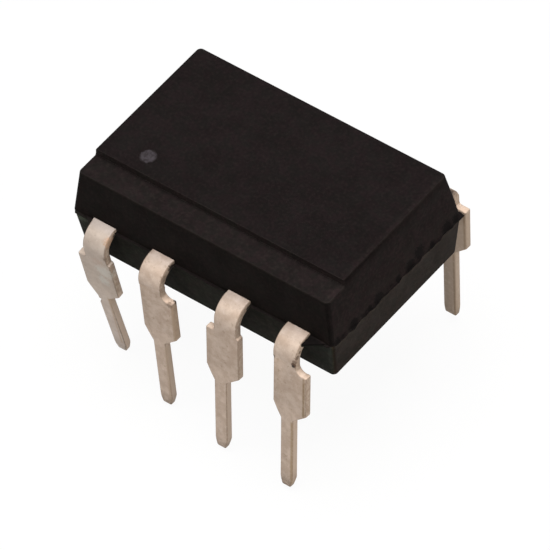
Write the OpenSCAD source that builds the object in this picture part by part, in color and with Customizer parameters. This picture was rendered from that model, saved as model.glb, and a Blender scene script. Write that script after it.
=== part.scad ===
// Eight-lead dual in-line integrated circuit, through-hole package.
// Millimetres. Z is up. X runs along the body, from the end with lead 1 to the
// end with lead 4. Leads 1 to 4 are the row at -Y and leads 5 to 8 the row at +Y.
// The origin is the centre of the lead pattern on the seating plane, where the
// wide shoulders of the leads stop on a circuit board.

/* [Body] */
// Length of the body beyond the centre of the outer leads
end_overhang = 1.09; // [1:0.01:1.2]
// Height of the body above the parting line
upper_height = 1.86; // [1.7:0.02:2.1]
// Depth of the body below the parting line
lower_height = 1.53; // [1.3:0.02:1.8]
// Draft angle of the upper half
upper_draft = 7.7; // [5:0.1:10]
// Draft angle of the lower half
lower_draft = 6.1; // [5:0.1:10]
// Rounding of the four upright corners
corner_radius = 0.16; // [0.12:0.01:0.4]
// Rounding of the top and bottom edges
edge_radius = 0.06; // [0.02:0.01:0.1]

/* [Ledge and marks] */
// Distance of the ledge's step from the body's side at the parting line
ledge_inset = 1.07; // [0.9:0.01:1.2]
// Depth of the step down to the ledge along leads 1 to 4
ledge_depth = 0.26; // [0.1:0.01:0.4]
// Diameter of the printed pin-one mark
mark_diameter = 0.56; // [0.4:0.02:0.9]
// Depth that the ink fills in the top face
mark_depth = 0.03; // [0.02:0.01:0.06]
// Distance of the mark's centre from the end by lead 1
mark_from_end = 1.75; // [1.3:0.05:2.2]
// Distance of the mark's centre from the ledge's step
mark_from_step = 0.63; // [0.5:0.01:1]
// Diameter of the round ejector marks in the underside
ejector_diameter = 1.4; // [0.8:0.1:2]
// Depth of the ejector marks
ejector_depth = 0.05; // [0.02:0.01:0.1]
// Distance between the centres of the two ejector marks
ejector_spacing = 5.8; // [4:0.1:6.4]

/* [Moulding flash] */
// Thickness of the thin fin of resin on the parting line
flash_thickness = 0.03; // [0.02:0.01:0.06]
// Mean width of the ragged fin at the end by lead 4
flash_width = 0.05; // [0.03:0.01:0.08]
// Mean width of the fin along leads 1 to 4
side_flash_width = 0.07; // [0.03:0.01:0.08]
// Reach of the web of resin that was left beside lead 4
web_reach = 0.44; // [0.2:0.02:0.48]
// Thickness of that web
web_thickness = 0.12; // [0.05:0.01:0.2]

/* [Lead pattern] */
// Distance between neighbouring leads in a row
lead_pitch = 2.54; // [2.5:0.02:2.58]
// Distance between the two rows, before the leads splay
row_spacing = 7.62; // [7.5:0.02:7.9]
// Gap from the body's side at the parting line to the middle plane of a lead
lead_clearance = 0.64; // [0.6:0.01:0.8]
// Further reach of leads 5 to 8 before their bend
rear_reach = 0.15; // [0:0.01:0.25]
// Gap between the seating plane and the underside of the body
standoff = 0.92; // [0.7:0.01:1.1]
// Length of the leads below the seating plane
lead_below_seat = 3.27; // [2.8:0.02:3.8]

/* [Lead shape] */
// Thickness of the lead frame strip
lead_thickness = 0.25; // [0.2:0.01:0.3]
// Inside radius of the bend
bend_inner_radius = 0.43; // [0.3:0.01:0.48]
// Width of the neck where a lead leaves the body
neck_width = 0.84; // [0.7:0.01:0.9]
// Shift of the neck towards the other lead of its pair
neck_shift = 0.16; // [0.1:0.01:0.18]
// Width of the shoulder that stops on the board
shoulder_width = 1.22; // [1.16:0.01:1.3]
// Shift of the shoulder towards the lead 4 end
shoulder_shift = 0.05; // [0:0.01:0.05]
// Radius of the notch where the tie of the strip was cut away
notch_radius = 0.25; // [0.2:0.01:0.27]
// Distance of the notch's centre below the end of the bend
notch_drop = 0.12; // [0.08:0.01:0.2]
// Width of the part that goes through the board
pin_width = 0.46; // [0.4:0.01:0.5]
// Shift of that part in leads 1 to 4, towards the lead 1 end
pin_shift = 0.04; // [0:0.01:0.06]
// Height of the taper from the shoulder to the pin
taper_height = 0.5; // [0.4:0.01:0.7]
// Length of the narrowed end of the pin
point_length = 0.36; // [0.3:0.01:0.6]
// Width of the pin at its very end
point_width = 0.31; // [0.2:0.01:0.38]
// Thickness of the pin at its very end
point_thickness = 0.2; // [0.1:0.01:0.22]

/* [Bent leads] */
// Splay of lead 1, outward from upright; a minus is bent inward
splay_1 = -8.5; // [-10:0.5:8]
// Splay of lead 2
splay_2 = 0.8; // [-8:0.2:8]
// Splay of lead 3
splay_3 = 5.8; // [-8:0.2:8]
// Splay of lead 4
splay_4 = 7; // [-8:0.2:8]
// Splay of lead 5
splay_5 = -3; // [-8:0.2:8]
// Splay of leads 6 to 8
splay_rest = -2; // [-8:0.2:8]
// Downward bend of lead 1 at its root, part of its inward splay
root_drop_1 = 14; // [0:1:16]
// Sideways lean of lead 1's pin alone, towards lead 2
pin_lean_1 = 2.5; // [0:0.1:4]
// Sideways lean of lead 2, towards lead 3
lean_2 = 1.2; // [-2:0.1:2]
// Sideways lean of lead 5; a minus leans towards lead 6
lean_5 = -0.6; // [-4:0.1:2]
// Offset of lead 5 towards the end of the body
offset_5 = 0.03; // [0:0.01:0.16]
// Depth of the nick in the edge of lead 1
nick_depth = 0.07; // [0.02:0.01:0.1]

/* [Lead frame inside] */
// Length of a lead's straight root in the resin
root_length = 1.07; // [0.9:0.01:1.2]
// Diameter of the hole that locks each lead in the resin
lock_hole = 0.36; // [0.2:0.02:0.44]
// Distance of that hole's centre from the body's side
lock_inset = 0.51; // [0.45:0.01:0.6]
// Width of a lead's inner end
finger_width = 0.6; // [0.5:0.01:0.65]
// Length of the pad that carries the die
pad_length = 2.6; // [2.4:0.05:2.8]
// Width of the pad that carries the die
pad_width = 2; // [1.8:0.05:2.1]
// Gap between the pad and the inner ends of the leads
pad_gap = 0.3; // [0.25:0.01:0.35]

/* [Die and wires] */
// Length of the silicon die
die_length = 1.7; // [1.2:0.05:2]
// Width of the silicon die
die_width = 1.3; // [0.9:0.05:1.5]
// Thickness of the silicon die
die_thickness = 0.28; // [0.2:0.01:0.35]
// Thickness of the adhesive under the die
attach_thickness = 0.03; // [0.02:0.01:0.05]
// Width of adhesive that shows round the die
attach_margin = 0.06; // [0.02:0.01:0.1]
// Diameter of a bond wire
wire_diameter = 0.04; // [0.03:0.005:0.05]
// Height of a wire's loop above the die
loop_height = 0.22; // [0.15:0.01:0.3]
// Distance of the bond places from the die's edge
bond_inset = 0.16; // [0.12:0.01:0.2]

/* [Hidden] */
$fn = 48;

// The body follows from the lead pattern
body_length = 3 * lead_pitch + 2 * end_overhang;
body_width = row_spacing - 2 * lead_clearance;
end_x = body_length / 2;
side_y = body_width / 2;
parting_z = standoff + lower_height;
top_z = parting_z + upper_height;
step_y = side_y - ledge_inset;

bend_radius = bend_inner_radius + lead_thickness / 2;
bend_y = row_spacing / 2 - bend_radius;
// Distances down a lead from the end of a right-angled bend
shoulder_end = parting_z - bend_radius;
pin_start = shoulder_end + taper_height;
blade_length = shoulder_end + lead_below_seat;
splays = [splay_1, splay_2, splay_3, splay_4, splay_5, splay_rest, splay_rest, splay_rest];
leans = [0, lean_2, 0, 0, lean_5, 0, 0, 0];

frame_top = parting_z + lead_thickness / 2;
die_bottom = frame_top + attach_thickness;
die_top = die_bottom + die_thickness;
loop_z = die_top + loop_height;
finger_end_y = pad_width / 2 + pad_gap;
finger_end_x = pad_length / 2 + 1.5 * pad_gap;
finger_y = 0.375 * pad_width;
fan_y = side_y - root_length;

// Row side of a lead, -1 for leads 1 to 4 and 1 for leads 5 to 8
function row(i) = i <= 4 ? -1 : 1;
// Place of a lead along X
function lead_x(i) = (i <= 4 ? i - 2.5 : 6.5 - i) * lead_pitch + (i == 5 ? offset_5 : 0);
// Further reach of a lead before its bend, which the same strip loses below it
function reach(i) = row(i) > 0 ? rear_reach : 0;
// Direction along X towards the other lead of the pair
function pair_side(i) = lead_x(i) < -lead_pitch || (lead_x(i) > 0 && lead_x(i) < lead_pitch) ? 1 : -1;
// Bend at a lead's root, and the splay that its main bend makes
function root_drop(i) = i == 1 ? root_drop_1 : 0;
function bend_splay(i) = splays[i - 1] + root_drop(i);
// Ragged width of the flash at step k, round a mean
function ragged(k, mean, amount) =
    mean * (1 + amount * (0.55 * sin(k * 137) + 0.45 * sin(k * 71 + 40)));

// Rounding of a top edge whose outer side stands at x = reach, from the drafted
// side to the flat
function edge_arc(reach, height, draft, steps = 4) =
    let (z = height - edge_radius)
    [for (k = [0:steps]) let (a = draft + (90 - draft) * k / steps)
        [reach - edge_radius + edge_radius * cos(a), z + edge_radius * sin(a)]];

// Drafted block with rounded corners and edges, from the parting plane up
module drafted_block(height, draft) {
    z = height - edge_radius;
    // Place of the rounding's outer side, so that it touches the drafted side
    inset = z * tan(draft) + edge_radius / cos(draft) - edge_radius;
    hull() for (sx = [-1, 1], sy = [-1, 1]) {
        translate([sx * (end_x - corner_radius), sy * (side_y - corner_radius), 0])
            cylinder(h = z / 2, r1 = corner_radius, r2 = 0, $fn = 32);
        translate([sx * (end_x - inset - corner_radius), sy * (side_y - inset - corner_radius), 0])
            rotate_extrude($fn = 32)
            polygon(concat([[0, z / 2]], edge_arc(corner_radius, height, draft), [[0, height]]));
    }
}

// Upper half, with the ledge along leads 1 to 4 a step lower than the top face
module upper_half() {
    drafted_block(upper_height - ledge_depth, upper_draft);
    intersection() {
        drafted_block(upper_height, upper_draft);
        translate([-body_length, -step_y, 0])
            cube([2 * body_length, 2 * body_width, 2 * upper_height]);
    }
}

// Thin ragged fin that the mould's joint left round the body
module parting_fin() {
    r = corner_radius;
    steps = 30;
    long = body_length - 2 * r;
    wide = body_width - 2 * r;
    translate([0, 0, parting_z - flash_thickness / 2]) linear_extrude(flash_thickness)
        polygon(concat(
            [for (k = [0:steps]) [-end_x + r + long * k / steps,
                                  -side_y - ragged(k, side_flash_width, 0.3)]],
            [for (k = [0:steps]) [end_x + ragged(k + 7, flash_width, 0.9),
                                  -side_y + r + wide * k / steps]],
            [[end_x + 1.6 * flash_width, side_y + flash_width / 2],
             [end_x - r / 2, side_y + 1.4 * flash_width]],
            [for (k = [0:steps]) [end_x - r - long * k / steps,
                                  side_y + ragged(k + 3, flash_width, 0.5)]],
            [for (k = [0:steps]) [-end_x - ragged(k + 11, flash_width / 2, 0.6),
                                  side_y - r - wide * k / steps]]));
}

// Webs of resin in the corners between the body and the outer leads 4 and 1
module corner_webs() {
    r = corner_radius;
    neck_edge = 1.5 * lead_pitch - neck_shift + neck_width / 2;
    small = web_reach / 2;
    translate([0, 0, parting_z - web_thickness / 2]) linear_extrude(web_thickness) {
        polygon([[neck_edge, -side_y + r], [neck_edge, -side_y - web_reach],
                 [neck_edge + 0.5 * web_reach, -side_y - 0.64 * web_reach],
                 [neck_edge + 1.05 * web_reach, -side_y - 0.24 * web_reach],
                 [end_x - 0.6 * r, -side_y + 0.8 * r], [end_x - 2 * r, -side_y + r]]);
        polygon([[-neck_edge, -side_y + r], [-neck_edge, -side_y - small],
                 [-neck_edge - 0.9 * small, -side_y - 0.4 * small],
                 [-neck_edge - 1.7 * small, -side_y + r / 4],
                 [-neck_edge - 1.7 * small, -side_y + r]]);
    }
}

// The moulding before anything is set into it
module mould_block() {
    translate([0, 0, parting_z]) upper_half();
    translate([0, 0, parting_z]) mirror([0, 0, 1]) drafted_block(lower_height, lower_draft);
    parting_fin();
    corner_webs();
}

// Moulded resin body, with the exact room of everything that is embedded in it
module body() {
    color([0.13, 0.12, 0.12]) difference() {
        mould_block();
        mark_disc();
        for (s = [-1, 1]) translate([s * ejector_spacing / 2, 0, 0])
            cylinder(h = standoff + ejector_depth, d = ejector_diameter);
        for (i = [1:8]) strip(i);
        attach_slab();
        die_block();
        for (i = [1:8]) wire(i);
    }
}

module mark_disc() {
    translate([mark_from_end - end_x, mark_from_step - step_y, top_z - mark_depth])
        cylinder(h = mark_depth, d = mark_diameter);
}

// Grey ink dot that marks lead 1, level with the top face
module pin_one_mark() {
    color([0.28, 0.26, 0.28]) mark_disc();
}

// Outline of a lead's flat blade, with x across it and y down it as a minus.
// The neck runs on upward, past the bend. The tie of the strip was cut away on
// the side away from the pair's other lead: round on one lead, straight on the other.
module blade_outline(i) {
    s = pair_side(i);
    shift = row(i) < 0 ? pin_shift : 0;
    start = -bend_radius * bend_splay(i) * PI / 180;
    lean = leans[i - 1];
    neck_l = s * neck_shift - neck_width / 2;
    neck_r = s * neck_shift + neck_width / 2;
    wide_l = shoulder_shift - shoulder_width / 2;
    wide_r = shoulder_shift + shoulder_width / 2;
    pin_l = -shift - pin_width / 2;
    pin_r = -shift + pin_width / 2;
    shelf = notch_drop + notch_radius;
    straight = s * row(i) < 0;
    far_neck = s > 0 ? neck_l : neck_r;
    notch_x = far_neck - s * notch_radius;
    near_x = s > 0 ? neck_r : neck_l;
    near_wide = s > 0 ? wide_r + shift : wide_l - shift;
    fillet = 0.3 * notch_radius;
    tip = row(i) < 0 ? point_width : 1.3 * point_width;
    pin_lean = i == 1 ? pin_lean_1 : 0;
    // Place on the pin, turned about the pin's upper end
    function on_pin(x, down) = [
        -shift + (x + shift) * cos(pin_lean) + (down - pin_start) * sin(pin_lean),
        -pin_start + (x + shift) * sin(pin_lean) - (down - pin_start) * cos(pin_lean)];
    translate([neck_l, -start - lead_thickness / 8]) square([neck_width, 3 * bend_radius]);
    translate([0, -start]) rotate([0, 0, lean]) translate([0, start + reach(i)]) {
        difference() {
            polygon([[neck_l, -start], [neck_l, -notch_drop], [wide_l, -notch_drop],
                     [wide_l, -shoulder_end],
                     [(pin_l + wide_l) / 2, -shoulder_end - taper_height * 0.6],
                     on_pin(pin_l, pin_start * 1.02),
                     on_pin(pin_l, blade_length - point_length),
                     on_pin(-1.6 * shift - tip / 2, blade_length),
                     on_pin(-1.6 * shift + tip / 2, blade_length),
                     on_pin(pin_r, blade_length - point_length),
                     on_pin(pin_r, pin_start),
                     on_pin(pin_r, pin_start - taper_height * 0.08),
                     [wide_r, -shoulder_end - taper_height * 0.1],
                     [wide_r, -notch_drop], [neck_r, -notch_drop], [neck_r, -start]]);
            if (straight)
                translate([s > 0 ? neck_l - shoulder_width : neck_r, -shelf])
                    square([shoulder_width, shelf]);
            else {
                translate([notch_x, -notch_drop]) circle(r = notch_radius, $fn = 32);
                // Above the shoulder beyond the notch
                translate([s > 0 ? notch_x - shoulder_width : notch_x, -0.98 * shelf])
                    square([shoulder_width, shelf]);
            }
            // Small step out from the neck to the shoulder on the pair's side
            polygon([[near_x, -0.9 * notch_drop], [near_x, -0.7 * shelf],
                     [near_wide, -0.92 * shelf], [near_wide, -0.9 * notch_drop]]);
            if (i == 1)
                translate(on_pin(pin_l, pin_start + 0.4 * pin_width)) rotate([0, 0, pin_lean])
                    translate([-pin_width, -0.3 * pin_width])
                    square([pin_width + nick_depth, 0.3 * pin_width]);
        }
        if (straight)
            polygon([[far_neck + s * fillet, -shelf - fillet], [far_neck + s * fillet, -shelf + fillet],
                     [far_neck, -shelf + fillet], [far_neck - s * 0.3 * fillet, -shelf + 0.3 * fillet],
                     [far_neck - s * fillet, -shelf], [far_neck - s * fillet, -shelf - fillet]]);
    }
}

// Place in a lead's side view, with the bend's centre as origin, at a distance
// down the blade and a distance outward from its middle plane
function side_point(splay, down, out) =
    (bend_radius + out) * [cos(splay), sin(splay)]
    + (down + bend_radius * splay * PI / 180) * [sin(splay), -cos(splay)];
function bend_arc(r, splay, steps = 14) =
    [for (k = [0:steps]) let (a = (90 - splay) * k / steps) r * [sin(a), cos(a)]];
function backward(points) = [for (k = [len(points) - 1:-1:0]) points[k]];
// Points of the side view turned downward about the lead's root
function dropped(points, drop) =
    let (root = [side_y - bend_y, bend_radius])
    [for (p = points) let (q = p - root)
        root + [q.x * cos(drop) + q.y * sin(drop), -q.x * sin(drop) + q.y * cos(drop)]];

// Side view of a lead from its level part round the bend to the thinned point
module lead_side(splay, drop, length) {
    half = lead_thickness / 2;
    thin = point_thickness / 2;
    root_x = side_y - bend_y;
    polygon(concat(
        [[-bend_y, bend_radius + half]],
        drop > 0 ? [for (a = [0:drop / 3:drop]) [root_x + half * sin(a), bend_radius + half * cos(a)]] : [],
        dropped(concat(
            bend_arc(bend_radius + half, splay),
            [side_point(splay, length - 0.6 * point_length, half),
             side_point(splay, length, thin),
             side_point(splay, length, -thin),
             side_point(splay, length - 0.6 * point_length, -half)],
            backward(bend_arc(bend_radius - half, splay))), drop),
        drop > 0 ? [[root_x - half * tan(drop / 2), bend_radius - half]] : [],
        [[-bend_y, bend_radius - half]]));
}

// Level part of a lead, from the bond place in the body to the bend, for the row at +Y
module finger_outline(i) {
    end = bend_y + reach(i);
    side = lead_x(i) < 0 ? -1 : 1;
    outer = abs(lead_x(i)) > lead_pitch;
    off = abs(lead_x(i)) + side * pair_side(i) * neck_shift;
    a = off - neck_width / 2;
    b = off + neck_width / 2;
    difference() {
        scale([side, 1]) polygon(outer
            ? [[b, end], [b, fan_y],
               [finger_end_x + finger_width, finger_y - finger_width / 2],
               [finger_end_x, finger_y - finger_width / 2],
               [finger_end_x, finger_y + finger_width / 2],
               [a, fan_y + finger_width * 2 / 3], [a, end]]
            : [[b, end], [b, fan_y], [b - 0.8 * finger_width, finger_end_y],
               [a - 0.28 * finger_width, finger_end_y],
               [a, fan_y], [a, end]]);
        translate([side * off, side_y - lock_inset]) circle(d = lock_hole, $fn = 24);
    }
}

// Whole formed lead; the strip of lead 4 is in one piece with the die pad
module strip(i) {
    splay = bend_splay(i);
    drop = root_drop(i);
    mirror([0, row(i) < 0 ? 1 : 0, 0]) {
        intersection() {
            translate([lead_x(i) - lead_pitch, bend_y + reach(i), parting_z - bend_radius])
                rotate([90, 0, 90]) linear_extrude(2 * lead_pitch)
                lead_side(splay, drop, blade_length - reach(i));
            union() {
                translate([0, 0, parting_z - 2 * lead_thickness])
                    linear_extrude(4 * lead_thickness) finger_outline(i);
                translate([lead_x(i), side_y, parting_z]) rotate([-drop, 0, 0])
                    translate([0, bend_y + reach(i) - side_y, -bend_radius]) rotate([splay, 0, 0])
                    translate([0, 0, -bend_radius * splay * PI / 180])
                    translate([0, 3 * bend_radius, 0]) rotate([90, 0, 0])
                    linear_extrude(3.5 * bend_radius) blade_outline(i);
            }
        }
        if (i == 4) translate([0, 0, parting_z - lead_thickness / 2])
            linear_extrude(lead_thickness) union() {
                square([pad_length, pad_width], center = true);
                translate([pad_length / 2 - pad_gap / 3, finger_y - finger_width / 3])
                    square([2 * pad_gap, finger_width * 2 / 3]);
            }
    }
}

module tinned() { color([0.72, 0.64, 0.57]) children(); }
module lead_1() { tinned() strip(1); }
module lead_2() { tinned() strip(2); }
module lead_3() { tinned() strip(3); }
module lead_4() { tinned() strip(4); }
module lead_5() { tinned() strip(5); }
module lead_6() { tinned() strip(6); }
module lead_7() { tinned() strip(7); }
module lead_8() { tinned() strip(8); }

module attach_slab() {
    translate([-die_length / 2 - attach_margin, -die_width / 2 - attach_margin, frame_top])
        cube([die_length + 2 * attach_margin, die_width + 2 * attach_margin, attach_thickness]);
}

// Layer of adhesive that holds the die
module die_attach() { color([0.7, 0.7, 0.68]) attach_slab(); }

module die_block() {
    translate([-die_length / 2, -die_width / 2, die_bottom])
        cube([die_length, die_width, die_thickness]);
}

// Silicon die on the pad
module die() { color([0.35, 0.37, 0.42]) die_block(); }

// Where wire i stands on the die, and where it stands on its lead
function die_bond(i) =
    let (side = lead_x(i) < 0 ? -1 : 1, outer = abs(lead_x(i)) > lead_pitch)
    [side * (outer ? die_length / 2 - bond_inset : die_length / 4 - bond_inset / 2),
     row(i) * (die_width / 2 - bond_inset)];
function lead_bond(i) =
    let (side = lead_x(i) < 0 ? -1 : 1, outer = abs(lead_x(i)) > lead_pitch)
    outer ? [side * (finger_end_x + 0.4 * finger_width), row(i) * finger_y]
          : [side * (lead_pitch / 2 + side * pair_side(i) * neck_shift - 0.38 * neck_width),
             row(i) * (finger_end_y + finger_width / 3)];

// Bond wire: up from a ball on the die, across, and down to its lead
module wire(i) {
    a = die_bond(i);
    b = lead_bond(i);
    r = wire_diameter / 2;
    run = norm(b - a);
    fall = loop_height - wire_diameter;
    translate([a.x, a.y, die_top]) cylinder(h = loop_height, r = r, $fn = 16);
    translate([a.x, a.y, die_top]) cylinder(h = 1.5 * r, r = 1.8 * r, $fn = 16);
    translate([a.x, a.y, loop_z]) sphere(r = 1.15 * r, $fn = 16);
    translate([a.x, a.y, loop_z]) rotate([0, 90 + atan(fall / run), atan2(b.y - a.y, b.x - a.x)])
        cylinder(h = norm([run, fall]), r = r, $fn = 16);
    translate([b.x, b.y, loop_z - fall]) sphere(r = 1.15 * r, $fn = 16);
    translate([b.x, b.y, frame_top]) cylinder(h = loop_z - fall - frame_top, r = r, $fn = 16);
}

module gold() { color([0.85, 0.68, 0.3]) children(); }
module bond_wire_1() { gold() wire(1); }
module bond_wire_2() { gold() wire(2); }
module bond_wire_3() { gold() wire(3); }
module bond_wire_4() { gold() wire(4); }
module bond_wire_5() { gold() wire(5); }
module bond_wire_6() { gold() wire(6); }
module bond_wire_7() { gold() wire(7); }
module bond_wire_8() { gold() wire(8); }

body();
pin_one_mark();
lead_1();
lead_2();
lead_3();
lead_4();
lead_5();
lead_6();
lead_7();
lead_8();
die_attach();
die();
bond_wire_1();
bond_wire_2();
bond_wire_3();
bond_wire_4();
bond_wire_5();
bond_wire_6();
bond_wire_7();
bond_wire_8();
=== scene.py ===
import math
import bmesh
import bpy
from mathutils import Matrix, Vector


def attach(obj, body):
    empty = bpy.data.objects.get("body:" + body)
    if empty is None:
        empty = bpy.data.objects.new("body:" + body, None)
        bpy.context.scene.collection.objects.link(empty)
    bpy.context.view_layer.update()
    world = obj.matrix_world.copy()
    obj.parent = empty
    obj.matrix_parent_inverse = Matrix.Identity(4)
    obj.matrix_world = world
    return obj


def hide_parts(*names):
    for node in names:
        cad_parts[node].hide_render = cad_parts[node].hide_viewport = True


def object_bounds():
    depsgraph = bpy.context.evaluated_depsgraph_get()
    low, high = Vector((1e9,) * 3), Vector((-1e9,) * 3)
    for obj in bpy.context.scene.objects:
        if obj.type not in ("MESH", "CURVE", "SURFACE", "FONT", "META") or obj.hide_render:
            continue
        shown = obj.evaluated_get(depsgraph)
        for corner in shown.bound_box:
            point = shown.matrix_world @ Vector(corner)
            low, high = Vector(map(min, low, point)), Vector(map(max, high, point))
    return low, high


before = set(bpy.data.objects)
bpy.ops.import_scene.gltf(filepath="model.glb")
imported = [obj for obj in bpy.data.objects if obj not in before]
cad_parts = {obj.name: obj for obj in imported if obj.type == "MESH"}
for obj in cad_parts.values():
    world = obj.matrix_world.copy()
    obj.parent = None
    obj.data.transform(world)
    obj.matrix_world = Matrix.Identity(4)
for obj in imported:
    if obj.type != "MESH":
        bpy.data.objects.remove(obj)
cad_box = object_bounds()
scene = bpy.context.scene

# Places and sizes are written in millimetres, and MM turns them into metres
MM = 0.001
PARTING_Z = 2.45
FLOOR_GAP = 0.002
FLOOR_Z = min(cad_box[0][2], cad_box[1][2]) - FLOOR_GAP * MM
LEADS = ["lead_%d" % number for number in range(1, 9)]
WIRES = ["bond_wire_%d" % number for number in range(1, 9)]

# The photograph's camera, found by fitting the body and the leads to its edges
PHOTO_SIZE = 550
PIXELS_PER_MM = 33.587
CAMERA_DISTANCE = 222.7
CAMERA_TURN = (42.194, 48.225, -6.0)  # azimuth, elevation and roll in degrees
CENTRE_PIXEL = (266.62, 212.07)  # where the middle of the parting plane lies
SENSOR_WIDTH = 36.0
CLIP_RANGE = (0.01, 20.0)


def photo_camera():
    azimuth, elevation, roll = (math.radians(v) for v in CAMERA_TURN)
    back = Vector((math.sin(azimuth) * math.cos(elevation),
                   -math.cos(azimuth) * math.cos(elevation), math.sin(elevation)))
    level = Vector((math.cos(azimuth), math.sin(azimuth), 0.0))
    upright = back.cross(level)
    right = level * math.cos(roll) + upright * math.sin(roll)
    up = upright * math.cos(roll) - level * math.sin(roll)
    place = Vector((0, 0, PARTING_Z * MM)) + back * (CAMERA_DISTANCE * MM)
    place -= right * ((CENTRE_PIXEL[0] - PHOTO_SIZE / 2) / PIXELS_PER_MM * MM)
    place += up * ((CENTRE_PIXEL[1] - PHOTO_SIZE / 2) / PIXELS_PER_MM * MM)
    data = bpy.data.cameras.new("photo_camera")
    data.sensor_width = SENSOR_WIDTH
    data.lens = PIXELS_PER_MM * CAMERA_DISTANCE * SENSOR_WIDTH / PHOTO_SIZE
    data.clip_start, data.clip_end = CLIP_RANGE
    camera = bpy.data.objects.new("photo_camera", data)
    scene.collection.objects.link(camera)
    turn = Matrix((right, up, back)).transposed()
    camera.matrix_world = Matrix.Translation(place) @ turn.to_4x4()
    scene.camera = camera


# Node helpers
def new_material(name):
    material = bpy.data.materials.new(name)
    material.use_nodes = True
    tree = material.node_tree
    tree.nodes.clear()
    output = tree.nodes.new("ShaderNodeOutputMaterial")
    shader = tree.nodes.new("ShaderNodeBsdfPrincipled")
    tree.links.new(shader.outputs["BSDF"], output.inputs["Surface"])
    return material, tree, shader


def group_with(name, inputs, outputs):
    group = bpy.data.node_groups.new(name, "ShaderNodeTree")
    for label, kind, value in inputs:
        socket = group.interface.new_socket(name=label, in_out="INPUT", socket_type=kind)
        if value is not None:
            socket.default_value = value
    for label, kind in outputs:
        group.interface.new_socket(name=label, in_out="OUTPUT", socket_type=kind)
    return group, group.nodes.new("NodeGroupInput"), group.nodes.new("NodeGroupOutput")


def place_group(tree, group, **values):
    node = tree.nodes.new("ShaderNodeGroup")
    node.node_tree = group
    for label, value in values.items():
        node.inputs[label.replace("_", " ")].default_value = value
    return node


def math_node(tree, operation, a, b=None):
    node = tree.nodes.new("ShaderNodeMath")
    node.operation = operation
    for socket, value in zip(node.inputs, (a, b)):
        if value is None:
            continue
        if isinstance(value, (int, float)):
            socket.default_value = value
        else:
            tree.links.new(value, socket)
    return node.outputs[0]


def chained(tree, operation, values):
    result = values[0]
    for value in values[1:]:
        result = math_node(tree, operation, result, value)
    return result


def product(tree, *factors):
    return chained(tree, "MULTIPLY", factors)


def greatest(tree, *values):
    return chained(tree, "MAXIMUM", values)


def outside_of(tree, mask):
    return math_node(tree, "SUBTRACT", 1.0, mask)


def size_of(tree, value):
    return math_node(tree, "ABSOLUTE", value)


def noise_node(tree, vector, size_mm, detail=3.0, rough=0.6):
    node = tree.nodes.new("ShaderNodeTexNoise")
    node.inputs["Scale"].default_value = 1.0 / (size_mm * MM)
    node.inputs["Detail"].default_value = detail
    node.inputs["Roughness"].default_value = rough
    tree.links.new(vector, node.inputs["Vector"])
    return node.outputs["Fac"]


def ramp_node(tree, value, low, high, to_low=0.0, to_high=1.0, smooth=True):
    node = tree.nodes.new("ShaderNodeMapRange")
    node.interpolation_type = "SMOOTHSTEP" if smooth else "LINEAR"
    node.inputs["From Min"].default_value = low
    node.inputs["From Max"].default_value = high
    node.inputs["To Min"].default_value = to_low
    node.inputs["To Max"].default_value = to_high
    tree.links.new(value, node.inputs["Value"])
    return node.outputs["Result"]


def rising(tree, value_m, low_mm, high_mm):
    return ramp_node(tree, value_m, low_mm * MM, high_mm * MM)


def falling(tree, value_m, low_mm, high_mm):
    return ramp_node(tree, value_m, low_mm * MM, high_mm * MM, 1.0, 0.0)


def band(tree, value_m, low_mm, high_mm, soft_mm=0.03):
    """One between two places along an axis, falling softly to nought outside them."""
    return product(tree, rising(tree, value_m, low_mm - soft_mm, low_mm + soft_mm),
                   falling(tree, value_m, high_mm - soft_mm, high_mm + soft_mm))


def mix_colour(tree, factor, a, b, blend="MIX"):
    node = tree.nodes.new("ShaderNodeMix")
    node.data_type = "RGBA"
    node.blend_type = blend
    for index, value in ((0, factor), (6, a), (7, b)):
        socket = node.inputs[index]
        if isinstance(value, (int, float)):
            socket.default_value = value
        elif isinstance(value, tuple):
            socket.default_value = value + (1.0,) * (4 - len(value))
        else:
            tree.links.new(value, socket)
    return node.outputs[2]


def tinted(tree, mask, colour, tint):
    return mix_colour(tree, mask, colour, tint, "MULTIPLY")


def toned(colour, factor):
    return tuple(v * factor for v in colour)


def axes_of(tree, vector):
    split = tree.nodes.new("ShaderNodeSeparateXYZ")
    tree.links.new(vector, split.inputs[0])
    return split.outputs["X"], split.outputs["Y"], split.outputs["Z"]


def surface_normal(tree):
    return tree.nodes.new("ShaderNodeNewGeometry").outputs["Normal"]


# Shared effects
def grain_effect():
    """Fine grain: a height for bump, a mask of specks and a slow mottle."""
    group, start, end = group_with(
        "fine_grain",
        [("Vector", "NodeSocketVector", None), ("Grain Scale", "NodeSocketFloat", 20000.0),
         ("Mottle Scale", "NodeSocketFloat", 2000.0)],
        [("Height", "NodeSocketFloat"), ("Specks", "NodeSocketFloat"),
         ("Mottle", "NodeSocketFloat")])

    def noise(scale, detail):
        node = group.nodes.new("ShaderNodeTexNoise")
        node.inputs["Detail"].default_value = detail
        node.inputs["Roughness"].default_value = 0.6
        group.links.new(start.outputs["Vector"], node.inputs["Vector"])
        group.links.new(start.outputs[scale], node.inputs["Scale"])
        return node.outputs["Fac"]

    fine = noise("Grain Scale", 4.0)
    slow = noise("Mottle Scale", 5.0)
    height = math_node(group, "ADD", fine, product(group, slow, 0.5))
    group.links.new(height, end.inputs["Height"])
    group.links.new(ramp_node(group, fine, 0.56, 0.70), end.inputs["Specks"])
    group.links.new(ramp_node(group, slow, 0.35, 0.68), end.inputs["Mottle"])
    return group


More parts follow.
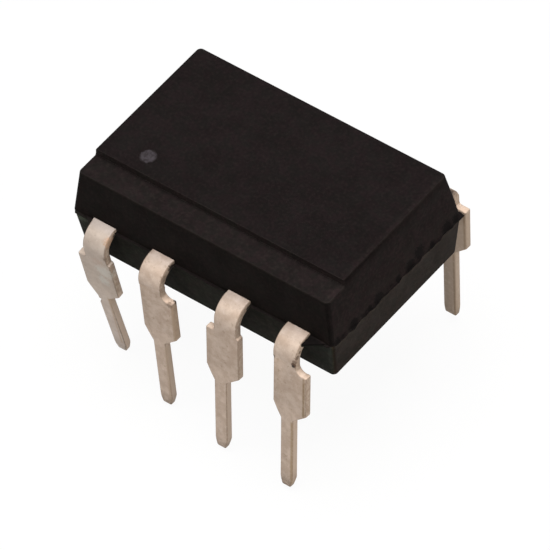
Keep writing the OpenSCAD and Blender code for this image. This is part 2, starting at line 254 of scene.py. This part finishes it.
def spot_effect():
    """Soft-edged round spot with a ragged rim, at a place in the piece's own frame."""
    rim_noise_size, raggedness = 0.06, 1.6
    group, start, end = group_with(
        "ragged_spot",
        [("Vector", "NodeSocketVector", None), ("Centre", "NodeSocketVector", None),
         ("Radius", "NodeSocketFloat", 0.0001)],
        [("Mask", "NodeSocketFloat")])
    away = group.nodes.new("ShaderNodeVectorMath")
    away.operation = "DISTANCE"
    group.links.new(start.outputs["Vector"], away.inputs[0])
    group.links.new(start.outputs["Centre"], away.inputs[1])
    rough = noise_node(group, start.outputs["Vector"], rim_noise_size)
    ratio = math_node(group, "DIVIDE", away.outputs["Value"], start.outputs["Radius"])
    wander = product(group, math_node(group, "SUBTRACT", rough, 0.5), raggedness)
    ragged = math_node(group, "ADD", ratio, wander)
    group.links.new(ramp_node(group, ragged, 0.6, 1.15, 1.0, 0.0), end.inputs["Mask"])
    return group


def edge_effect():
    """Mask of the places where a smooth-shaded surface turns from one flat to another."""
    group, start, end = group_with(
        "turned_edge", [("Normal", "NodeSocketVector", None)], [("Mask", "NodeSocketFloat")])
    x, y, z = axes_of(group, start.outputs["Normal"])
    pairs = [size_of(group, product(group, side, z)) for side in (x, y)]
    group.links.new(ramp_node(group, greatest(group, *pairs), 0.22, 0.42), end.inputs["Mask"])
    return group


GRAIN = grain_effect()
SPOT = spot_effect()
EDGE = edge_effect()


def spot_mask(tree, place, centre, radius):
    spot = place_group(tree, SPOT, Centre=toned(centre, MM), Radius=radius * MM)
    tree.links.new(place, spot.inputs["Vector"])
    return spot.outputs["Mask"]


def edge_mask(tree):
    node = place_group(tree, EDGE)
    tree.links.new(surface_normal(tree), node.inputs["Normal"])
    return node.outputs["Mask"]


def grained_material(name, grain_mm, mottle_mm):
    """New material with its place in the piece's frame and the grain on it."""
    material, tree, shader = new_material(name)
    place = tree.nodes.new("ShaderNodeTexCoord").outputs["Object"]
    grain = place_group(tree, GRAIN, Grain_Scale=1 / (grain_mm * MM),
                        Mottle_Scale=1 / (mottle_mm * MM))
    tree.links.new(place, grain.inputs["Vector"])
    return material, tree, shader, place, grain.outputs


def lay_finish(tree, shader, colour, mottle, roughness, height, depth_mm):
    """Colour, roughness between two values by the mottle, and relief of a given depth."""
    tree.links.new(colour, shader.inputs["Base Color"])
    rough = ramp_node(tree, mottle, 0.0, 1.0, *roughness, smooth=False)
    tree.links.new(rough, shader.inputs["Roughness"])
    bump = tree.nodes.new("ShaderNodeBump")
    bump.inputs["Strength"].default_value = 1.0
    bump.inputs["Distance"].default_value = depth_mm * MM
    tree.links.new(height, bump.inputs["Height"])
    tree.links.new(bump.outputs["Normal"], shader.inputs["Normal"])


# Moulding resin
RESIN_GRAIN = (0.05, 0.8)  # sizes of the grain and of the slow mottle, as for every material
RESIN_ROUGHNESS = (0.74, 0.82)
RESIN_RELIEF = 0.004
RESIN_SPECULAR = 0.05
HUE_SIZE = 0.34
FLECK_SIZE = 0.10
PIT_DEPTH = 1.5  # as a multiple of the grain's height
RESIN_TONE = 0.5
WARM_RESIN = toned((0.0191, 0.0134, 0.0140), RESIN_TONE)
COOL_RESIN = toned((0.0155, 0.0133, 0.0126), RESIN_TONE)
SHADED_RESIN = toned((0.0088, 0.0074, 0.0070), RESIN_TONE)
DARK_FLECK = toned((0.0085, 0.0070, 0.0068), RESIN_TONE)
PALE_FLECK = toned((0.030, 0.024, 0.022), RESIN_TONE)
RESIN_SPECK = toned((0.027, 0.023, 0.021), RESIN_TONE)
WORN_AND_HIGHLIT_EDGE = toned((0.034, 0.029, 0.027), RESIN_TONE)
PIT_SHADE = toned((0.004, 0.0035, 0.0035), RESIN_TONE)
FLASH_SHADE = toned((0.0062, 0.0055, 0.0052), RESIN_TONE)
GREEN_FLASH = toned((0.034, 0.036, 0.028), RESIN_TONE)
SCRAPED_RESIN = toned((0.048, 0.048, 0.040), RESIN_TONE)

# Pits on the end by lead 4: centre and radius
PITS = [((4.92, -2.90, 2.52), 0.16), ((4.92, -2.10, 2.54), 0.22), ((4.92, -1.35, 2.52), 0.13),
        ((4.92, -0.90, 2.54), 0.24), ((4.92, 0.05, 2.52), 0.14), ((4.92, 0.64, 2.54), 0.24),
        ((4.86, 1.12, 2.70), 0.26), ((4.92, 1.70, 2.52), 0.15), ((4.92, 2.45, 2.56), 0.26),
        ((4.92, 2.88, 2.57), 0.18)]
SCRAPE = ((-4.62, -3.08, 2.28), 0.24)
CRUMB_SIZE = 0.3
CRUMBS_ABOVE_JOINT = 0.14
RIGHT_END_X = (4.7, 4.8)
FLASH_HALF_HEIGHT = 0.07
FLASH_Y = (-3.24, -3.19)
WEB_X = (4.02, 4.1)

# How far a normal leans before the surface counts as a side, the top or a corner
SIDE_TURN = (0.5, 0.8)
TOP_TURN = (0.8, 0.95)
CORNER_TURN = (0.06, 0.3)
JOINT_SOFTNESS = 0.03
JOINT_STRIP = (PARTING_Z - 0.22, PARTING_Z - 0.02)
RISER_Y = (-2.2, -2.0)
RISER_Z = (4.0, 4.04)
LEDGE_BACK_Y = (-2.14, -2.1)
LEDGE_FRONT_Y = (-3.05, -2.95)
HIGHLIT_RIM_X = (4.5, 4.8)
UNDER_RIM_Z = (3.7, 4.25)
LOWER_RIGHT_X = (3.4, 4.4)

# Painted light and shade: each side of the body is tinted by how light falls on it, with lower
# faces lit from below, upper front faces and corners shaded, the riser and ledge lightened, a
# painted highlight along the rim of the right end and painted shade under it; the blotches are
# darker patches of the resin. The masks of the same names are in mould_sides
SIDE_LIGHT_TINTS = {
    "lower_long": (1.85, 2.25, 1.80),
    "upper_long": (0.81, 0.74, 0.65),
    "riser": (3.45, 3.7, 4.0),
    "short": (1.31, 1.14, 1.10),
    "lower_short": (1.09, 1.03, 0.74),
    "joint_strip": (1.3, 1.3, 1.24),
    "ledge": (1.46, 1.50, 1.46),
    "top": (1.02, 0.94, 0.96),
    "upper_corner": (0.62, 0.62, 0.62),
    "blotches": (0.8, 0.8, 0.78),
    "lower": (1.1, 1.1, 1.1),
    "highlit_rim": (1.6, 1.55, 1.55),
    "shaded_under_rim": (0.74, 0.74, 0.72),
    "lower_right": (1.1, 1.22, 1.25),
}


def resin_ground(tree, place, grain):
    """Warm and cool mottle with pale and dark flecks, and paler edges, partly wear and partly
    painted highlight.
    """
    hue = noise_node(tree, place, HUE_SIZE)
    colour = mix_colour(tree, ramp_node(tree, hue, 0.42, 0.58), WARM_RESIN, COOL_RESIN)
    shade = ramp_node(tree, grain["Mottle"], 0.0, 1.0, 0.0, 0.35, smooth=False)
    colour = mix_colour(tree, shade, colour, SHADED_RESIN)
    fleck = noise_node(tree, place, FLECK_SIZE, 2.0, 0.5)
    colour = mix_colour(tree, ramp_node(tree, fleck, 0.5, 0.68, 0.0, 0.4), colour, DARK_FLECK)
    colour = mix_colour(tree, ramp_node(tree, fleck, 0.32, 0.48, 0.4, 0.0), colour, PALE_FLECK)
    colour = mix_colour(tree, product(tree, grain["Specks"], 0.3), colour, RESIN_SPECK)
    # Paler edges: partly wear, partly painted highlight
    edges = product(tree, edge_mask(tree), ramp_node(tree, hue, 0.35, 0.65, 0.25, 0.75))
    return mix_colour(tree, edges, colour, WORN_AND_HIGHLIT_EDGE)


def joint_pits(tree, place, crumbs):
    """Mask of the pits and crumbs that the mould's joint left on the end by lead 4, which painted
    shade darkens.
    """
    x, y, z = axes_of(tree, place)
    spots = [spot_mask(tree, place, centre, radius) for centre, radius in PITS]
    rough_joint = product(tree, band(tree, z, PARTING_Z, PARTING_Z + CRUMBS_ABOVE_JOINT, 0.05),
                          ramp_node(tree, crumbs, 0.47, 0.58), rising(tree, x, *RIGHT_END_X), 0.8)
    return greatest(tree, *spots, rough_joint)


def flash_webs(tree, place, colour):
    """Flash web beside lead 4 painted dark as shade, greenish one with a scrape beside lead 1."""
    x, y, z = axes_of(tree, place)
    web = product(tree, band(tree, z, PARTING_Z - FLASH_HALF_HEIGHT,
                             PARTING_Z + FLASH_HALF_HEIGHT, 0.02), falling(tree, y, *FLASH_Y))
    # painted shade on the web beside lead 4, next to the lead's neck
    shaded_right_web = product(tree, web, rising(tree, x, *WEB_X), 0.75)
    left_web = product(tree, web, falling(tree, x, -WEB_X[1], -WEB_X[0]), 0.5)
    colour = mix_colour(tree, shaded_right_web, colour, FLASH_SHADE)
    colour = mix_colour(tree, left_web, colour, GREEN_FLASH)
    scrape = product(tree, spot_mask(tree, place, *SCRAPE), 0.8)
    return mix_colour(tree, scrape, colour, SCRAPED_RESIN)


def mould_sides(tree, place, crumbs):
    """Masks of the body's sides and of the strips along them, for the painted light and shade."""
    x, y, z = axes_of(tree, place)
    nx, ny, nz = axes_of(tree, surface_normal(tree))
    lower = falling(tree, z, PARTING_Z - JOINT_SOFTNESS, PARTING_Z + JOINT_SOFTNESS)
    upper = outside_of(tree, lower)
    long_side = ramp_node(tree, size_of(tree, ny), *SIDE_TURN)
    short_side = ramp_node(tree, size_of(tree, nx), *SIDE_TURN)
    top = ramp_node(tree, nz, *TOP_TURN)
    corner = ramp_node(tree, size_of(tree, product(tree, nx, ny)), *CORNER_TURN)
    upper_long = product(tree, long_side, upper)
    lower_long = product(tree, long_side, lower)
    return {
        "lower_long": lower_long,
        "upper_long": upper_long,
        "riser": product(tree, upper_long, band(tree, y, *RISER_Y), rising(tree, z, *RISER_Z)),
        "short": short_side,
        "lower_short": product(tree, short_side, lower),
        "joint_strip": product(tree, short_side, band(tree, z, *JOINT_STRIP, 0.06)),
        "ledge": product(tree, top, falling(tree, y, *LEDGE_BACK_Y),
                         rising(tree, y, *LEDGE_FRONT_Y)),
        "top": top,
        "upper_corner": product(tree, corner, upper),
        "blotches": product(tree, lower, ramp_node(tree, crumbs, 0.4, 0.6)),
        "lower": lower,
        # painted highlight along the rim of the right end, and painted shade on the end face just
        # under it
        "highlit_rim": product(tree, top, band(tree, x, *HIGHLIT_RIM_X, 0.06),
                              ramp_node(tree, crumbs, 0.3, 0.6, 0.5, 1.0)),
        "shaded_under_rim": product(tree, ramp_node(tree, nx, *SIDE_TURN),
                             rising(tree, z, *UNDER_RIM_Z)),
        "lower_right": product(tree, lower_long, rising(tree, x, *LOWER_RIGHT_X)),
    }


def moulding_resin():
    """Black epoxy with the fine matte skin of a spark-eroded mould."""
    material, tree, shader, place, grain = grained_material("moulding_resin", *RESIN_GRAIN)
    crumbs = noise_node(tree, place, CRUMB_SIZE)
    colour = resin_ground(tree, place, grain)
    pits = joint_pits(tree, place, crumbs)
    # Painted shade in the pits and crumbs, besides the bump that gives their relief
    colour = mix_colour(tree, product(tree, pits, 0.85), colour, PIT_SHADE)
    colour = flash_webs(tree, place, colour)
    masks = mould_sides(tree, place, crumbs)
    # Painted light and shade: each side's mask tints the colour by how light falls there
    for side, tint in SIDE_LIGHT_TINTS.items():
        colour = tinted(tree, masks[side], colour, tint)
    height = math_node(tree, "SUBTRACT", grain["Height"], product(tree, pits, PIT_DEPTH))
    lay_finish(tree, shader, colour, grain["Mottle"], RESIN_ROUGHNESS, height, RESIN_RELIEF)
    shader.inputs["Specular IOR Level"].default_value = RESIN_SPECULAR
    return material


# Printed mark
INK_GRAIN = (0.04, 0.14)
INK_ROUGHNESS = (0.8, 0.65)
INK_RELIEF = 0.004
INK_SPECULAR = 0.06
MARK_CENTRE = (-3.15, -1.47)
MARK_RIM = (0.19, 0.285)
MARK_WANDER = 0.16
WANDER_SIZE = 0.12
FULL_INK = (0.056, 0.049, 0.056)
THIN_INK = (0.019, 0.015, 0.016)
BARE_RESIN = (0.0105, 0.0078, 0.0078)


def printed_ink():
    """Grey dot printed thinly, fading at its rim, with the resin showing through."""
    material, tree, shader, place, grain = grained_material("printed_ink", *INK_GRAIN)
    thin = greatest(tree, product(tree, grain["Mottle"], 0.8), grain["Specks"])
    ink = mix_colour(tree, thin, FULL_INK, THIN_INK)
    x, y, z = axes_of(tree, place)
    across = math_node(tree, "SUBTRACT", x, MARK_CENTRE[0] * MM)
    along = math_node(tree, "SUBTRACT", y, MARK_CENTRE[1] * MM)
    squares = math_node(tree, "ADD", product(tree, across, across), product(tree, along, along))
    away = math_node(tree, "SQRT", squares)
    ragged = math_node(tree, "SUBTRACT", noise_node(tree, place, WANDER_SIZE), 0.5)
    edge = math_node(tree, "ADD", away, product(tree, ragged, MARK_WANDER * MM))
    colour = mix_colour(tree, rising(tree, edge, *MARK_RIM), ink, BARE_RESIN)
    lay_finish(tree, shader, colour, grain["Mottle"], INK_ROUGHNESS, grain["Height"], INK_RELIEF)
    shader.inputs["Specular IOR Level"].default_value = INK_SPECULAR
    return material


# Tinned leads
TIN_GRAIN = (0.035, 0.3)
TIN_ROUGHNESS = (0.6, 0.72)
TIN_RELIEF = 0.005
TIN_METALLIC = 0.25
TIN_SPECULAR = 0.3
BLOTCH_SIZE = 0.16
STREAK_SIZE = 0.11
DARK_TIN = (0.53, 0.41, 0.325)
PALE_TIN = (0.66, 0.54, 0.45)
TIN_SPECK = (0.40, 0.295, 0.22)
BROWN_BLOTCH = (0.36, 0.255, 0.175)
PALE_BLOTCH = (0.74, 0.64, 0.57)
GREY_TIN = (0.48, 0.455, 0.425)
CUT_BROWN = (0.30, 0.215, 0.155)
CUT_PALE = (0.42, 0.33, 0.255)
CUT_PIN = (0.47, 0.365, 0.285)
COPPER_LINE = (0.21, 0.145, 0.095)
SOILED_POINT = (0.22, 0.16, 0.115)

# Painted light and shade by height: the pin, the blade, the bend painted bright and the flat by
# the body; then painted light near the body and a painted highlight on the shelf
PIN_TONE = (0.96, 0.95, 0.94)
BLADE_TONE = (0.87, 0.86, 0.85)
BEND_TONE = (1.04, 1.04, 1.04)
FLAT_TONE = (0.82, 0.83, 0.85)
NEAR_BODY_LIGHT = (1.09, 1.10, 1.13)
SHELF_HIGHLIGHT = (1.25, 1.25, 1.25)
PIN_TO_BLADE_Z = (-0.2, 0.3)
BLADE_TO_BEND_Z = (1.72, 2.1)
BEND_TO_FLAT_Z = (2.42, 2.56)
CUT_PIN_Z = (-0.1, 0.2)
SHELF_Z = (1.75, 1.9)
NEAR_BODY_Y = (3.3, 3.5)
POINT_Z = -3.35

# Stains, dark spots and painted highlights
# Dark spots by the necks' exits, in corners and on lead 5's bend
DARK_SPOT = (0.022, 0.015, 0.011)
BROWN = (0.16, 0.105, 0.07)
DARK_BROWN = (0.11, 0.06, 0.035)
DULL_BROWN = (0.14, 0.095, 0.07)
COPPER_STAIN = (0.55, 0.33, 0.20)
PINK_STAIN = (0.50, 0.36, 0.29)
OCHRE_STAIN = (0.44, 0.31, 0.20)
GREY_HIGHLIGHT = (0.60, 0.60, 0.55)
GREEN_HIGHLIGHT = (0.56, 0.58, 0.54)
EDGE_BROWN = (0.26, 0.18, 0.11)

# Wear, stains and painted highlights of each lead. grey: share of dull tin; copper: strength at
# the corners; cut_tone:
# tone of the cut edges; lines: left, right, low, high and colour of a stripe; spots:
# centre, radius, colour and strength; soil_top and soil_strength: dirt at the point
LEAD_WEAR_AND_HIGHLIGHTS = {
    "lead_1": dict(
        grey=0.35, copper=0.4, cut_tone=1.2, soil_strength=0.25,
        lines=[(-2.90, -2.83, -0.05, 1.5, (0.28, 0.21, 0.13)),
               (-3.67, -3.61, -2.9, -0.5, (0.46, 0.34, 0.24))],
        spots=[((-3.22, -3.24, 2.36), 0.11, DARK_SPOT, 0.9),
               ((-3.24, -3.50, 2.28), 0.20, COPPER_STAIN, 0.6),
               ((-3.20, -3.85, 1.75), 0.15, BROWN, 0.65),
               # pale grey and greenish painted highlights on lead 1's lower blade
               ((-3.45, -3.6, 1.05), 0.34, GREY_HIGHLIGHT, 0.5),
               ((-3.55, -3.4, 0.5), 0.3, GREEN_HIGHLIGHT, 0.5),
               ((-3.6, -3.9, 1.35), 0.3, PINK_STAIN, 0.4)]),
    "lead_2": dict(
        copper=0.4, cut_tone=0.96,
        lines=[(-0.66, -0.55, -0.05, 1.5, (0.41, 0.30, 0.21)),
               (-1.07, -1.01, -3.2, -0.6, (0.45, 0.34, 0.25))],
        spots=[((-0.98, -3.30, 2.40), 0.17, DARK_SPOT, 1.0),
               ((-0.98, -3.72, 2.25), 0.14, BROWN, 0.5),
               ((-0.70, -3.94, 1.50), 0.12, BROWN, 0.6),
               ((-0.62, -3.70, 1.50), 0.09, DARK_SPOT, 0.85)]),
    "lead_3": dict(cut_tone=0.98, spots=[((1.86, -3.26, 2.36), 0.14, DARK_SPOT, 0.95)]),
    "lead_4": dict(
        cut_tone=1.05, soil_top=-2.4,
        lines=[(4.34, 4.42, -0.05, 1.5, (0.26, 0.175, 0.095)),
               (3.92, 3.985, -3.2, -0.5, (0.36, 0.25, 0.14))],
        spots=[((4.08, -3.68, 2.22), 0.07, BROWN, 0.8),
               ((4.07, -3.82, 2.10), 0.09, BROWN, 0.9),
               ((4.04, -3.93, 1.97), 0.09, BROWN, 0.75),
               ((4.00, -3.95, 1.86), 0.09, DARK_BROWN, 0.95),
               ((3.98, -3.95, 1.80), 0.06, DARK_SPOT, 0.9),
               ((3.25, -3.92, 1.80), 0.08, DARK_SPOT, 0.7),
               ((3.30, -3.95, 0.65), 0.10, OCHRE_STAIN, 0.7)]),
    "lead_5": dict(
        copper=0.6, cut_tone=1.1,
        lines=[(3.2, 5.0, -3.5, 1.6, (0.40, 0.31, 0.235)),
               (3.96, 4.01, -3.2, -0.4, EDGE_BROWN),
               (4.40, 4.46, -0.05, 1.6, EDGE_BROWN)],
        spots=[((4.10, 3.80, 2.40), 0.28, DULL_BROWN, 0.6),
               ((4.08, 3.72, 2.52), 0.18, DARK_SPOT, 0.7)]),
}


def tin_face(tree, grain, blotch, grey):
    """Matte tin with specks, brown and pale blotches and a share of dull grey."""
    face = mix_colour(tree, grain["Mottle"], DARK_TIN, PALE_TIN)
    face = mix_colour(tree, product(tree, grain["Specks"], 0.35), face, TIN_SPECK)
    face = mix_colour(tree, ramp_node(tree, blotch, 0.58, 0.72, 0.0, 0.5), face, BROWN_BLOTCH)
    face = mix_colour(tree, ramp_node(tree, blotch, 0.28, 0.40, 0.4, 0.0), face, PALE_BLOTCH)
    return mix_colour(tree, grey, face, GREY_TIN)


def painted_height_light(tree, z):
    """Painted light and shade by height: brighter over the bend, duller below it."""
    tones = mix_colour(tree, rising(tree, z, *PIN_TO_BLADE_Z), PIN_TONE, BLADE_TONE)
    tones = mix_colour(tree, rising(tree, z, *BLADE_TO_BEND_Z), tones, BEND_TONE)
    return mix_colour(tree, rising(tree, z, *BEND_TO_FLAT_Z), tones, FLAT_TONE)


def cut_edge(tree, z, streaks, cut_tone):
    """Browner metal of the strip's cut edge, paler along the pin."""
    cut = mix_colour(tree, ramp_node(tree, streaks, 0.38, 0.62),
                     toned(CUT_BROWN, cut_tone), toned(CUT_PALE, cut_tone))
    return mix_colour(tree, falling(tree, z, *CUT_PIN_Z), cut, toned(CUT_PIN, cut_tone))


def tinned_strip(name, spots=(), lines=(), grey=0.0, copper=0.35, cut_tone=1.0,
                 soil_top=-2.7, soil_strength=1.0):
    """Matte tin on a stamped strip: pale faces, browner cut edges and a few stains, with painted
    light and shade by height, painted light near the body and a painted highlight on the shelf.
    """
    material, tree, shader, place, grain = grained_material(name, *TIN_GRAIN)
    x, y, z = axes_of(tree, place)
    nx, ny, nz = axes_of(tree, surface_normal(tree))
    blotch = noise_node(tree, place, BLOTCH_SIZE, 3.0, 0.62)
    streaks = noise_node(tree, place, STREAK_SIZE, 4.0, 0.65)
    # The cut edges face along X, and the copper shows where they meet the face
    sideways = size_of(tree, nx)
    cut_side = product(tree, ramp_node(tree, sideways, 0.72, 0.93), 0.9)
    shelf = product(tree, ramp_node(tree, nz, 0.2, 0.6), falling(tree, z, *SHELF_Z))
    corner = product(tree, ramp_node(tree, sideways, 0.2, 0.5),
                     ramp_node(tree, sideways, 0.8, 0.97, 1.0, 0.0), outside_of(tree, shelf),
                     ramp_node(tree, streaks, 0.35, 0.6, copper, copper + 0.35))
    near_body = falling(tree, size_of(tree, y), *NEAR_BODY_Y)

    face = tin_face(tree, grain, blotch, grey)
    # Painted light and shade: by height, brighter near the body, and a painted highlight on the
    # shelf
    face = tinted(tree, 1.0, face, painted_height_light(tree, z))
    face = tinted(tree, near_body, face, NEAR_BODY_LIGHT)
    face = tinted(tree, shelf, face, SHELF_HIGHLIGHT)
    colour = mix_colour(tree, cut_side, face, cut_edge(tree, z, streaks, cut_tone))
    colour = mix_colour(tree, corner, colour, COPPER_LINE)
    for left, right, low, high, tint in lines:
        line = product(tree, band(tree, x, left, right, 0.03), band(tree, z, low, high, 0.05),
                       ramp_node(tree, streaks, 0.3, 0.55, 0.45, 0.85))
        colour = mix_colour(tree, line, colour, tint)
    for centre, radius, tint, strength in spots:
        spot = product(tree, spot_mask(tree, place, centre, radius), strength)
        colour = mix_colour(tree, spot, colour, tint)
    soil = product(tree, falling(tree, z, POINT_Z, soil_top),
                   ramp_node(tree, streaks, 0.4, 0.6, 0.35, 0.95), soil_strength)
    colour = mix_colour(tree, soil, colour, SOILED_POINT)

    height = math_node(tree, "ADD", grain["Height"], blotch)
    lay_finish(tree, shader, colour, grain["Mottle"], TIN_ROUGHNESS, height, TIN_RELIEF)
    shader.inputs["Metallic"].default_value = TIN_METALLIC
    shader.inputs["Specular IOR Level"].default_value = TIN_SPECULAR
    return material


# Pieces that the resin hides
INNER_GRAIN = (0.03, 0.2)
INNER_RELIEF = 0.001
ROUGHNESS_SPREAD = 0.1


def inner_finish(name, colour, other, metallic, roughness):
    material, tree, shader, place, grain = grained_material(name, *INNER_GRAIN)
    mottled = mix_colour(tree, grain["Mottle"], colour, other)
    lay_finish(tree, shader, mottled, grain["Mottle"], (roughness, roughness + ROUGHNESS_SPREAD),
               grain["Height"], INNER_RELIEF)
    shader.inputs["Metallic"].default_value = metallic
    return material


def paint_node(node, material):
    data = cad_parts[node].data
    data.materials.clear()
    data.materials.append(material)


# Pieces that are seen
MERGE_DISTANCE = 0.002
FLAT_ANGLE = 0.6
SHADING_ANGLE = 40
BODY_BEVEL = 0.012
BODY_SHARP_ANGLE = 35.0
LEAD_BEVEL = 0.04
LEAD_SHARP_ANGLE = 30.0
SHORTEST_LEAD_EDGE = 0.03


def break_edges(shape, bevel_mm, sharp_degrees, shortest_mm):
    crisp = [edge for edge in shape.edges
             if edge.is_manifold and edge.calc_face_angle(0.0) > math.radians(sharp_degrees)
             and edge.calc_length() > shortest_mm * MM]
    bmesh.ops.bevel(shape, geom=crisp, offset=bevel_mm * MM, offset_type="OFFSET",
                    affect="EDGES", segments=2, profile=0.5, material=-1, clamp_overlap=False)


def dressed_copy(node, name, material, bevel_mm=0.0, sharp_degrees=0.0, shortest_mm=0.0):
    """Cleaned copy of a CAD node with its sharp edges broken, in the node's place."""
    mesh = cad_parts[node].data.copy()
    mesh.name = name
    shape = bmesh.new()
    shape.from_mesh(mesh)
    bmesh.ops.remove_doubles(shape, verts=shape.verts, dist=MERGE_DISTANCE * MM)
    bmesh.ops.dissolve_limit(shape, angle_limit=math.radians(FLAT_ANGLE), verts=shape.verts,
                             edges=shape.edges)
    if bevel_mm:
        break_edges(shape, bevel_mm, sharp_degrees, shortest_mm)
    for face in shape.faces:
        face.smooth = True
    shape.to_mesh(mesh)
    shape.free()
    mesh.materials.clear()
    mesh.materials.append(material)
    mesh.set_sharp_from_angle(angle=math.radians(SHADING_ANGLE))
    piece = bpy.data.objects.new(name, mesh)
    scene.collection.objects.link(piece)
    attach(piece, "root")
    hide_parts(node)
    return piece


# Floor, light and background
FLOOR_HALF_SIZE = 2.0
PAPER_GREY = (0.9, 0.9, 0.9, 1)
WHITE = (1, 1, 1, 1)
WHITE_SHARE = 0.95  # the rest of the floor's look keeps the object's shadow
ROOM_COLOUR = (1.0, 0.985, 0.97, 1)
ROOM_STRENGTH = 0.03
LAMP_COLOUR = (1.0, 0.98, 0.96)
LAMP_AIM = Vector((0, 0, 0))


def backdrop_rays(tree):
    """One for the rays that see plain white: the camera's, mirrored and passed ones."""
    rays = tree.nodes.new("ShaderNodeLightPath").outputs
    return greatest(tree, rays["Is Camera Ray"], rays["Is Glossy Ray"],
                    rays["Is Transmission Ray"])


def light_node(tree, kind, colour, strength=None):
    node = tree.nodes.new(kind)
    node.inputs["Color"].default_value = colour
    if strength is not None:
        node.inputs["Strength"].default_value = strength
    return node.outputs[0]


def mix_to_output(tree, output_kind, factor, first, second):
    output = tree.nodes.new(output_kind)
    mix = tree.nodes.new("ShaderNodeMixShader")
    for socket, value in zip(mix.inputs, (factor, first, second)):
        tree.links.new(value, socket)
    tree.links.new(mix.outputs[0], output.inputs["Surface"])


def paper_floor():
    mesh = bpy.data.meshes.new("floor")
    shape = bmesh.new()
    bmesh.ops.create_grid(shape, x_segments=1, y_segments=1, size=FLOOR_HALF_SIZE)
    bmesh.ops.translate(shape, verts=shape.verts, vec=(0, 0, FLOOR_Z))
    shape.to_mesh(mesh)
    shape.free()
    floor = bpy.data.objects.new("floor", mesh)
    scene.collection.objects.link(floor)
    material = bpy.data.materials.new("floor_paper")
    material.use_nodes = True
    tree = material.node_tree
    tree.nodes.clear()
    mix_to_output(tree, "ShaderNodeOutputMaterial",
                  product(tree, backdrop_rays(tree), WHITE_SHARE),
                  light_node(tree, "ShaderNodeBsdfDiffuse", PAPER_GREY),
                  light_node(tree, "ShaderNodeEmission", WHITE, 1.0))
    mesh.materials.append(material)


def pale_room():
    world = bpy.data.worlds.new("studio")
    scene.world = world
    world.use_nodes = True
    tree = world.node_tree
    tree.nodes.clear()
    mix_to_output(tree, "ShaderNodeOutputWorld", backdrop_rays(tree),
                  light_node(tree, "ShaderNodeBackground", ROOM_COLOUR, ROOM_STRENGTH),
                  light_node(tree, "ShaderNodeBackground", WHITE, 1.0))


def soft_lamp(name, place_mm, size_mm, power):
    """Square lamp that points at the origin, in the middle of the seating plane."""
    data = bpy.data.lights.new(name, "AREA")
    data.shape = "SQUARE"
    data.size = size_mm * MM
    data.energy = power
    data.color = LAMP_COLOUR
    lamp = bpy.data.objects.new(name, data)
    scene.collection.objects.link(lamp)
    lamp.location = Vector(place_mm) * MM
    lamp.rotation_euler = (LAMP_AIM - Vector(place_mm)).to_track_quat("-Z", "Y").to_euler()


photo_camera()

body = dressed_copy("body", "moulded_body", moulding_resin(), BODY_BEVEL, BODY_SHARP_ANGLE)
mark = dressed_copy("pin_one_mark", "printed_mark", printed_ink())
for lead in LEADS:
    finish = tinned_strip("tin_" + lead, **LEAD_WEAR_AND_HIGHLIGHTS.get(lead, {}))
    piece = dressed_copy(lead, "formed_" + lead, finish, LEAD_BEVEL, LEAD_SHARP_ANGLE,
                         SHORTEST_LEAD_EDGE)

adhesive = inner_finish("silver_adhesive", (0.42, 0.42, 0.40), (0.5, 0.5, 0.47), 0.5, 0.45)
silicon = inner_finish("silicon", (0.1, 0.11, 0.14), (0.14, 0.14, 0.17), 0.3, 0.15)
gold = inner_finish("gold_wire", (0.72, 0.46, 0.12), (0.8, 0.52, 0.16), 1.0, 0.2)
paint_node("die_attach", adhesive)
paint_node("die", silicon)
for wire in WIRES:
    paint_node(wire, gold)

paper_floor()
pale_room()
soft_lamp("overhead", place_mm=(0, 0, 260), size_mm=200, power=0.97)
soft_lamp("right_side", place_mm=(250, 0, 45), size_mm=140, power=0.18)

scene.view_settings.view_transform = "Standard"
bpy.context.view_layer.update()
